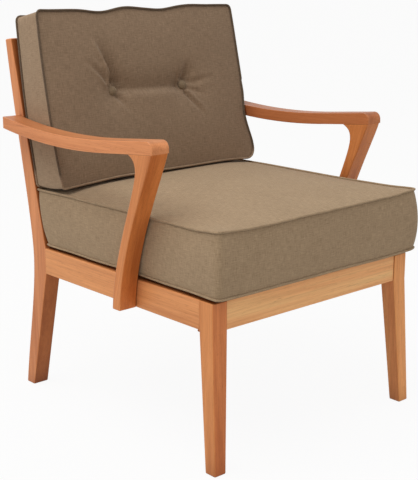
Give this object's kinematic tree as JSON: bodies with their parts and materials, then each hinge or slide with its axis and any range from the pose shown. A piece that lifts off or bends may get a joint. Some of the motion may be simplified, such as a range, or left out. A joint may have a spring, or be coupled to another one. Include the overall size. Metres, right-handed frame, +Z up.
{
  "type": "open-arm cushioned armchair",
  "caption": "Wooden open-arm chair with curved arms on leaning supports, a loose boxed seat cushion and a buttoned back cushion, for sitting at a table or in a lobby.",
  "frame": {"origin": "on the floor, in the middle of the chair's width and depth", "axes": "+Z up, -Y the way the sitter faces, -X the sitter's right"},
  "size_m": [0.6206, 0.6654, 0.8066],
  "materials": {
    "leg_wood": "satin lacquer over warm orange-brown stain",
    "rail_wood": "satin lacquer over warm orange-brown stain",
    "arm_wood": "satin lacquer over warm orange-brown stain",
    "inner_wood": "planed, thin lacquer",
    "cover_fabric": "taupe-brown woven cover with self piping",
    "button_fabric": "same cloth drawn over a button form",
    "tuft_cord": "waxed twine",
    "screw_steel": "zinc plated"
  },
  "bodies": {
    "frame": {"front_leg_right": "leg_wood", "front_leg_left": "leg_wood", "rear_leg_right": "leg_wood", "rear_leg_left": "leg_wood", "side_rail_right": "rail_wood", "side_rail_left": "rail_wood", "front_rail": "rail_wood", "rear_rail": "rail_wood", "arm_right": "arm_wood", "arm_left": "arm_wood", "arm_support_right": "arm_wood", "arm_support_left": "arm_wood", "arm_dowel_front_right": "inner_wood", "arm_dowel_front_left": "inner_wood", "arm_dowel_rear_right": "inner_wood", "arm_dowel_rear_left": "inner_wood", "arm_screw_right": "screw_steel", "arm_screw_left": "screw_steel", "support_screw_lower_right": "screw_steel", "support_screw_lower_left": "screw_steel", "support_screw_upper_right": "screw_steel", "support_screw_upper_left": "screw_steel", "back_top_rail": "rail_wood", "back_lower_rail": "rail_wood", "back_slat_1": "rail_wood", "back_slat_2": "rail_wood", "back_slat_3": "rail_wood", "back_slat_4": "rail_wood", "back_slat_5": "rail_wood", "seat_slat_1": "inner_wood", "seat_slat_2": "inner_wood", "seat_slat_3": "inner_wood", "seat_slat_4": "inner_wood", "seat_slat_5": "inner_wood", "slat_cleat_right": "inner_wood", "slat_cleat_left": "inner_wood", "corner_block_front_right": "inner_wood", "corner_block_front_left": "inner_wood", "corner_block_rear_right": "inner_wood", "corner_block_rear_left": "inner_wood"},
    "seat_cushion": {"seat_cushion": "cover_fabric"},
    "back_cushion": {"back_cushion": "cover_fabric", "button_front_right": "button_fabric", "button_front_left": "button_fabric", "button_rear_right": "button_fabric", "button_rear_left": "button_fabric", "tuft_cord_right": "tuft_cord", "tuft_cord_left": "tuft_cord"}
  },
  "joints": [
    {"name": "seat_cushion_pull", "type": "slide", "parent": "frame", "child": "seat_cushion", "axis": [0, -1, 0], "range_m": [0, 0.2]},
    {"name": "back_cushion_lift", "type": "slide", "parent": "frame", "child": "back_cushion", "axis": [0, 0.2077, 0.9782], "range_m": [0, 0.25]}
  ]
}
